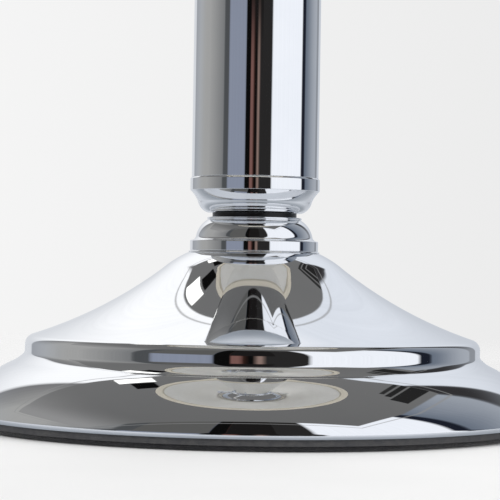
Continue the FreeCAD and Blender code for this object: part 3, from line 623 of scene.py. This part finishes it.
def spun(points, level, turns):
    """Vertices and faces of a closed outline in millimetres turned about the lamp's axis, up from level."""
    count = len(points)
    vertices = []
    for number in range(turns):
        angle = FULL_TURN * number / turns
        cosine, sine = math.cos(angle), math.sin(angle)
        vertices.extend((r * MM * cosine, r * MM * sine, level + z * MM) for r, z in points)
    faces = []
    for number in range(turns):
        here, there = number * count, (number + 1) % turns * count
        for point in range(count):
            after = (point + 1) % count
            faces.append((here + point, here + after, there + after, there + point))
    return vertices, faces


def piece(name, shape, material, node, body=None):
    """A smooth mesh that stands for a CAD node and, where one is named, rides on a body."""
    vertices, faces = shape
    mesh = bpy.data.meshes.new(name)
    mesh.from_pydata(vertices, [], faces)
    form = bmesh.new()
    form.from_mesh(mesh)
    bmesh.ops.remove_doubles(form, verts=form.verts, dist=1e-7)
    bmesh.ops.recalc_face_normals(form, faces=form.faces)
    form.to_mesh(mesh)
    form.free()
    mesh.shade_smooth()
    mesh.materials.append(material)
    made = linked(name, mesh)
    if body:
        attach(made, body)
    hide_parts(node)
    return made


def eased_copy(node, material, body, edge):
    """The CAD node's own form with flat faces whole again and its edges eased."""
    flat_deg, corner_deg = 0.6, 32
    form = bmesh.new()
    form.from_mesh(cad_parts[node].data)
    bmesh.ops.remove_doubles(form, verts=form.verts, dist=1e-6)
    flat = math.radians(flat_deg)
    bmesh.ops.dissolve_limit(form, angle_limit=flat, verts=form.verts, edges=form.edges)
    mesh = bpy.data.meshes.new(node + "_finished")
    form.to_mesh(mesh)
    form.free()
    mesh.shade_smooth()
    mesh.materials.append(material)
    made = linked(node + "_finished", mesh)
    easing = made.modifiers.new("eased_edges", "BEVEL")
    easing.width = edge
    easing.segments = 3
    easing.limit_method = "ANGLE"
    easing.angle_limit = math.radians(corner_deg)
    shading = made.modifiers.new("even_shading", "WEIGHTED_NORMAL")
    shading.keep_sharp = False
    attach(made, body)
    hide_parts(node)
    return made


def swept(points, radius, sides, closed=False):
    """Vertices and faces of a round wire along points."""
    path = [Vector(point) for point in points]
    count = len(path)
    vertices, faces = [], []
    side = None
    for number, point in enumerate(path):
        ahead = path[(number + 1) % count] if closed or number + 1 < count else point
        behind = path[number - 1] if closed or number else point
        heading = (ahead - behind).normalized()
        if side is None:
            side = heading.orthogonal().normalized()
        side = (side - heading * side.dot(heading)).normalized()
        across = heading.cross(side)
        for step in range(sides):
            angle = FULL_TURN * step / sides
            vertices.append(point + (side * math.cos(angle) + across * math.sin(angle)) * radius)
    spans = count if closed else count - 1
    for number in range(spans):
        here, there = number * sides, (number + 1) % count * sides
        for step in range(sides):
            after = (step + 1) % sides
            faces.append((here + step, here + after, there + after, there + step))
    if not closed:
        faces.append(tuple(range(sides)))
        faces.append(tuple(range((count - 1) * sides, count * sides)))
    return vertices, faces


def joined(shapes):
    """One shape of several."""
    vertices, faces = [], []
    for more_vertices, more_faces in shapes:
        base = len(vertices)
        vertices.extend(more_vertices)
        faces.extend(tuple(base + index for index in face) for face in more_faces)
    return vertices, faces


def ring_points(radius, level, count):
    """Points of a level circle round the lamp's axis."""
    turns = [FULL_TURN * number / count for number in range(count)]
    return [(radius * math.cos(turn), radius * math.sin(turn), level) for turn in turns]


def turned_about_axis(points, turn):
    """The points turned about the lamp's axis by an angle in radians."""
    return [Matrix.Rotation(turn, 3, "Z") @ Vector(point) for point in points]


def base_of(node):
    """Level of a CAD node's lower face."""
    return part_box(node)[0].z


# Foot and column, with sizes in millimetres up from each piece's lower face

ROD_HOLE_R = 3.3
BUFF = 0.12
FINE_BUFF = 0.07


def foot_shell(material):
    """The spun foot: rolled neck, flared cone, step with its upright wall, cove and dome."""
    wall = 1.0
    outside = [
        (ROD_HOLE_R, 35.55),
        (14.5, 35.55),
        (16.52, 34.51, 20.1, 31.95),
        (28.79, 26.06, 48.6, 17.05),
        (49.6, 16.25, 50.0, 15.0),
        (50.0, 13.7),
        (50.09, 13.24, 50.35, 12.85),
        (51.51, 11.88, 52.81, 11.13),
        (57.6, 8.3, 61.7, 4.6),
        (63.0, 2.9, 64.0, 1.0),
        (64.0, 0.0),
        (64.0 - wall, 0.0),
        (64.0 - wall, 1.0),
        (62.1, 2.7, 60.9, 3.95),
        (57.0, 7.4, 52.9, 9.85),
        (50.2, 11.7, 49.0, 13.9),
        (49.0, 15.4),
        (27.9, 25.1, 19.4, 31.1),
        (16.1, 33.5, 14.2, 34.55),
        (ROD_HOLE_R, 34.55),
    ]
    shape = spun(buffed(outline(outside), BUFF, longest=3.0), base_of("foot_shell"), turns=288)
    return piece("foot_shell_plated", shape, material, "foot_shell", "lamp")


def seat_ring(material):
    """A thin disc whose blunt edge shows under the knob."""
    radius, thick = 14.525, 0.35
    legs = [
        (ROD_HOLE_R, 0),
        (radius - thick / 2, 0),
        (radius, thick / 2),
        (radius - thick / 2, thick),
        (ROD_HOLE_R, thick),
    ]
    shape = spun(buffed(outline(legs), radius=0.03, longest=2.0), base_of("knob_seat_ring"), turns=192)
    return piece("seat_ring_plated", shape, material, "knob_seat_ring", "lamp")


def lower_knob(material):
    """Band, small cove, ovolo and top bead."""
    legs = [
        (ROD_HOLE_R, 0),
        (14.0, 0),
        (14.15, 0.15),
        (14.15, 2.2),
        (14.0, 2.35),
        (13.1, 2.77, 12.85, 3.35),
        (11.84, 5.58, 10.3, 6.95),
        (10.45, 7.22, 10.3, 7.5),
        (ROD_HOLE_R, 7.5),
    ]
    shape = spun(buffed(outline(legs), FINE_BUFF, longest=2.0), base_of("lower_knob"), turns=224)
    return piece("lower_knob_plated", shape, material, "lower_knob", "lamp")


def neck_spacer(material):
    """The dark seam between knob and cup."""
    radius, thick = 9.3, 0.95
    legs = [(ROD_HOLE_R, 0), (radius, 0), (radius, thick), (ROD_HOLE_R, thick)]
    shape = spun(buffed(outline(legs), radius=0.05, longest=2.0), base_of("neck_spacer"), turns=160)
    return piece("neck_spacer_plated", shape, material, "neck_spacer", "lamp")


def tube_cup(material):
    """Bowl, cavetto and collar band, and the spigot inside the tube."""
    thread_r, spigot_r = 3.03, 13.1
    legs = [
        (thread_r, 0),
        (10.35, 0),
        (11.81, 0.93, 12.6, 2.5),
        (13.13, 3.53, 14.3, 4.95),
        (14.3, 7.45),
        (14.0, 7.8),
        (spigot_r, 7.8),
        (spigot_r, 15.8),
        (thread_r, 15.8),
    ]
    shape = spun(buffed(outline(legs), FINE_BUFF, longest=3.0), base_of("tube_cup"), turns=224)
    return piece("tube_cup_plated", shape, material, "tube_cup", "lamp")


def candle_tube(material):
    """A plain tube with broken edges."""
    low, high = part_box("candle_tube")
    length = (high.z - low.z) / MM
    bore_r, outer_r = 13.2, 14.0
    legs = [(bore_r, 0), (outer_r, 0), (outer_r, length), (bore_r, length)]
    shape = spun(buffed(outline(legs), radius=0.1, longest=12.0), low.z, turns=224)
    return piece("candle_tube_plated", shape, material, "candle_tube", "lamp")


def felt_pad(material):
    """Wool felt with a soft, fuzzy cut edge."""
    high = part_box("felt_pad")[1]
    radius, thick = high.x / MM, high.z / MM
    ring_shares = (0, 0.25, 0.5, 0.75, 0.97)
    ease_in, ease_up, ease_flat = 0.25, 0.4, 0.05
    fuzz_share, edge_share = 0.0025, 0.98
    under = [(radius * share, 0) for share in ring_shares]
    edge = [
        (radius - ease_in, ease_flat),
        (radius, ease_up),
        (radius, thick - ease_up),
        (radius - ease_in, thick - ease_flat),
    ]
    over = [(radius * share, thick) for share in reversed(ring_shares)]
    vertices, faces = spun(under + edge + over, level=0.0, turns=240)
    wool = random.Random(4)
    fuzzed = []
    for x, y, z in vertices:
        at_edge = math.hypot(x, y) > radius * MM * edge_share
        pull = 1 - wool.random() * fuzz_share if at_edge else 1
        fuzzed.append((x * pull, y * pull, z))
    return piece("felt_pad_wool", (fuzzed, faces), material, "felt_pad", "lamp")


# Spring, candle and wick, with the candle's sizes in millimetres up from its foot

SPRING_TURNS = 20
WAX_R = 12.0
WICK_HOLE_R = 0.95


def feed_spring(material):
    """A coil with two closed turns at each end."""
    low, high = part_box("feed_spring")
    wire_r = 0.6 * MM
    coil_r = high.x - wire_r
    steps = 36
    closed_turns = 2
    closed_pitch = wire_r * 2.05
    open_turns = SPRING_TURNS - 2 * closed_turns
    open_height = high.z - low.z - 2 * wire_r - 2 * closed_turns * closed_pitch
    points = []
    for number in range(SPRING_TURNS * steps + 1):
        turn = number / steps
        open_share = max(0.0, min(1.0, (turn - closed_turns) / open_turns))
        closed = min(turn, closed_turns) + max(0.0, turn - closed_turns - open_turns)
        level = low.z + wire_r + closed * closed_pitch + open_share * open_height
        angle = FULL_TURN * turn
        points.append((coil_r * math.cos(angle), coil_r * math.sin(angle), level))
    shape = swept(points, wire_r, sides=12)
    coil = piece("feed_spring_coil", shape, material, "feed_spring")
    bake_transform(coil)


def candle(material):
    """The column, and the shoulder and tip, which stay under the cap, as two pieces."""
    low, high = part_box("candle")
    split = 148.0
    foot_ease = 0.3
    side_rows, hole_rows = 40, 8
    column = [(WICK_HOLE_R, 0), (WAX_R - foot_ease, 0), (WAX_R, foot_ease)]
    column += [(WAX_R, split * row / side_rows) for row in range(1, side_rows + 1)]
    column += [(WICK_HOLE_R, split * row / hole_rows) for row in range(hole_rows, 0, -1)]
    made = piece("candle_column", spun(column, low.z, turns=96), material, "candle", "lamp")
    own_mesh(made)

    tip = (high.z - low.z) / MM
    neck_r = 9.3
    legs = [
        (WICK_HOLE_R, split),
        (WAX_R, split),
        (WAX_R, 149.0),
        (neck_r, 151.6),
        (neck_r, 152.9),
        (7.86, 158.1, 4.5, tip - 0.1),
        (WICK_HOLE_R, tip - 0.5),
    ]
    shape = spun(buffed(outline(legs), radius=0.3, longest=0.6), low.z, turns=128)
    piece("candle_tip", shape, material, "candle", "lamp")


def wick(material):
    """Three plaited strands with a slight lean."""
    low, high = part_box("wick")
    strand_count, plaits, steps = 3, 4, 60
    strand_r, orbit, lean = 0.4 * MM, 0.42 * MM, 0.35 * MM
    sunk, below_top, flat_share = 1.5 * MM, 0.45 * MM, 0.8
    foot, top = low.z - sunk, high.z - below_top
    strands = []
    for strand in range(strand_count):
        points = []
        for number in range(steps + 1):
            share = number / steps
            angle = FULL_TURN * (share * plaits + strand / strand_count)
            across = orbit * math.cos(angle) + lean * share * share
            back = orbit * math.sin(angle * 2) * flat_share
            points.append((across, back, foot + (top - foot) * share))
        strands.append(swept(points, strand_r, sides=10))
    piece("wick_plait", joined(strands), material, "wick", "lamp")


# Shade carrier

ARM_COUNT = 3


def carrier_arm(number, material):
    """A bright wire from the collar, bent up to the ring."""
    low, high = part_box("carrier_arm_1")
    wire_r, bend = 1.3, 11.0
    run_steps, bow_steps, rise_steps = 4, 24, 30
    level, top = low.z / MM + wire_r, high.z / MM
    start, reach = low.x / MM, high.x / MM - wire_r
    corner = reach - bend
    diagonal = bend * math.sin(math.pi / 4)
    middle = (corner + diagonal, level + bend - diagonal)
    run = [(start + (corner - start) * step / run_steps, level) for step in range(run_steps + 1)]
    bow = arc_points((corner, level), middle, (reach, level + bend), bow_steps)
    height = top - level - bend
    rise = [(reach, level + bend + height * step / rise_steps) for step in range(1, rise_steps + 1)]
    points = [(across * MM, 0, up * MM) for across, up in run + bow + rise]
    turn = FULL_TURN * (number - 1) / ARM_COUNT
    shape = swept(turned_about_axis(points, turn), wire_r * MM, sides=28)
    node = "carrier_arm_%d" % number
    piece(node + "_wire", shape, material, node, "carrier")


# Shade

CLOTH_THICK = 0.9 * MM


def shade_sizes():
    """Radius of the cloth's outside at its lower and upper edge, and their levels."""
    low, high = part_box("shade_cloth")
    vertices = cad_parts["shade_cloth"].data.vertices
    upper = max(math.hypot(v.co.x, v.co.y) for v in vertices if v.co.z > high.z - 0.1 * MM)
    return high.x, upper, low.z, high.z


def shade_cloth(cloth, lining):
    """The cone of linen on a stiff backing, lapped and glued down the back."""
    bottom_r, top_r, bottom_z, top_z = shade_sizes()
    around, rows = 720, 60
    lap_width, lap_rise = 8 * MM, 0.35 * MM
    lap_at = FULL_TURN / 4
    ripple_rise, ripple_count, ripple_turn = 0.06 * MM, 9, 1.3
    set_back = 0.08 * MM
    slope = math.hypot(bottom_r - top_r, top_z - bottom_z)
    cone_share = (bottom_r - top_r) / slope
    turns = [FULL_TURN * column / around for column in range(around)]
    outside, inside, cut, cut_inside = [], [], [], []
    for row in range(rows + 1):
        share = row / rows
        radius = bottom_r + (top_r - bottom_r) * share
        level = bottom_z + (top_z - bottom_z) * share
        within = radius - CLOTH_THICK
        for turn in turns:
            ripple = ripple_rise * math.sin(turn * ripple_count + ripple_turn) * math.sin(math.pi * share)
            lap = lap_rise if 0 <= (turn - lap_at) * radius <= lap_width else 0.0
            out = radius + ripple - set_back + lap
            outside.append((out * math.cos(turn), out * math.sin(turn), level))
            inside.append((within * math.cos(turn), within * math.sin(turn), level))
            far = radius / cone_share
            swing = ((turn - lap_at) % FULL_TURN - math.pi) * cone_share
            cut.append((far * math.sin(swing), far * math.cos(swing)))
            cut_inside.append((turn * within, level))
    vertices, flat = outside + inside, cut + cut_inside
    inner, top = len(outside), rows * around
    faces = []
    for row in range(rows):
        for column in range(around):
            after = (column + 1) % around
            a, b = row * around + column, row * around + after
            faces.append((a, b, b + around, a + around))
            faces.append((inner + a, inner + a + around, inner + b + around, inner + b))
    for column in range(around):
        after = (column + 1) % around
        faces.append((column, inner + column, inner + after, after))
        faces.append((top + column, top + after, inner + top + after, inner + top + column))
    mesh = bpy.data.meshes.new("shade_cloth_linen")
    mesh.from_pydata(vertices, [], faces)
    mesh.shade_smooth()
    mesh.materials.append(cloth)
    mesh.materials.append(lining)
    for face in mesh.polygons:
        face.material_index = 0 if max(face.vertices[0], face.vertices[1]) < inner else 1
    layer = mesh.uv_layers.new(name="cut")
    for loop in mesh.loops:
        layer.data[loop.index].uv = flat[loop.vertex_index]
    made = linked("shade_cloth_linen", mesh)
    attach(made, "shade")
    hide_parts("shade_cloth")


def trim(node, up, tape, thread):
    """A tape folded round one edge of the cloth and over its wire, stitched near its outer edge."""
    bottom_r, top_r, bottom_z, top_z = shade_sizes()
    lean = (bottom_r - top_r) / (top_z - bottom_z)
    edge_z = bottom_z if up > 0 else top_z
    width, fold, thick, gap, wire = 9.0 * MM, 4.6 * MM, 0.5 * MM, 0.1 * MM, 3.0 * MM

    def out_r(height):
        """The cloth's radius at a height from its edge towards its middle."""
        return bottom_r - lean * (edge_z + height * up - bottom_z)

    if up > 0:
        wire_r = bottom_r - CLOTH_THICK - gap - wire / 2 - lean * wire
    else:
        wire_r = top_r - CLOTH_THICK - gap - wire / 2
    inner_r = wire_r - wire / 2 - gap
    around_edge = gap + thick
    legs = [
        (inner_r, fold),
        (inner_r, -gap),
        (out_r(-gap) + gap, -gap),
        (out_r(width) + gap, width),
        (out_r(width) + gap + thick, width),
        (out_r(-around_edge) + gap + thick, -around_edge),
        (inner_r - thick, -around_edge),
        (inner_r - thick, fold),
    ]
    points = [(r / MM, (edge_z + height * up) / MM) for r, height in legs]
    shape = spun(buffed(points, radius=0.28, longest=1.0), level=0.0, turns=720)
    piece(node + "_tape", shape, tape, node, "shade")

    seam, stitch_pitch, thread_r = width - 1.4 * MM, 3.2 * MM, 0.16 * MM
    seam_r = out_r(seam) + gap + thick
    # Millimetres along the seam and out of the tape
    stitch_line = ((-1.1, -0.14), (-0.7, 0.07), (0.0, 0.12), (0.7, 0.07), (1.1, -0.14))
    stitches = []
    count = int(FULL_TURN * seam_r / stitch_pitch)
    for number in range(count):
        middle = FULL_TURN * number / count
        points = []
        for along, out in stitch_line:
            turn = middle + along * MM / seam_r
            radius = seam_r + out * MM
            points.append((radius * math.cos(turn), radius * math.sin(turn), edge_z + seam * up))
        stitches.append(swept(points, thread_r, sides=8))
    piece(node + "_stitches", joined(stitches), thread, node, "shade")


def wire_ring(material):
    """The frame's lower ring."""
    low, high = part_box("shade_bottom_ring")
    wire_r = (high.z - low.z) / 2
    middle = (high.z + low.z) / 2
    shape = swept(ring_points(high.x - wire_r, middle, count=240), wire_r, sides=20, closed=True)
    piece("bottom_ring_wire", shape, material, "shade_bottom_ring", "shade")


def dress_frame():
    """Puts every piece on the frame."""
    plating = chrome()
    foot_shell(plating)
    seat_ring(plating)
    lower_knob(plating)
    neck_spacer(dark_steel())
    tube_cup(plating)
    candle_tube(plating)
    felt_pad(felt())
    feed_spring(spring_steel())
    candle(wax())
    wick(cotton())
    eased_copy("tube_cap", plating, "cap", edge=0.12 * MM)
    eased_copy("carrier_collar", plating, "carrier", edge=0.15 * MM)
    eased_copy("thumb_screw", plating, "screw", edge=0.15 * MM)
    eased_copy("carrier_ring", plating, "carrier", edge=0.15 * MM)
    eased_copy("bayonet_pins", plating, "lamp", edge=0.2 * MM)
    for number in range(1, ARM_COUNT + 1):
        carrier_arm(number, plating)
    enamel = shade_enamel()
    eased_copy("shade_spider", enamel, "shade", edge=0.2 * MM)
    wire_ring(enamel)
    shade_cloth(linen(), backing())
    tape = trim_tape()
    thread = sewing_thread()
    trim("trim_bottom", 1, tape, thread)
    trim("trim_top", -1, tape, thread)
    zinc = zinc_steel()
    hidden = {
        "foot_weight": (cast_iron(), "iron"),
        "tie_rod": (zinc, "zinc_steel"),
        "tie_washer": (zinc, "zinc_steel"),
        "tie_nut": (zinc, "zinc_steel"),
        "candle_follower": (zinc, "zinc_steel"),
    }
    for name, (material, slot) in hidden.items():
        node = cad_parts[name]
        node.data.materials.clear()
        node.data.materials.append(material)


bpy.context.scene.view_settings.view_transform = "Standard"
studio()
table_top()
soft_light("key", (-0.9, -1.1, 1.3), aim=(0, 0, 0.1), across=0.9, watts=14)
soft_light("fill", (1.2, -0.8, 0.8), aim=(0, 0, 0.15), across=1.0, watts=7)
soft_light("back", (0.2, 1.4, 1.2), aim=(0, 0, 0.15), across=1.0, watts=7)
camera()
dress_frame()
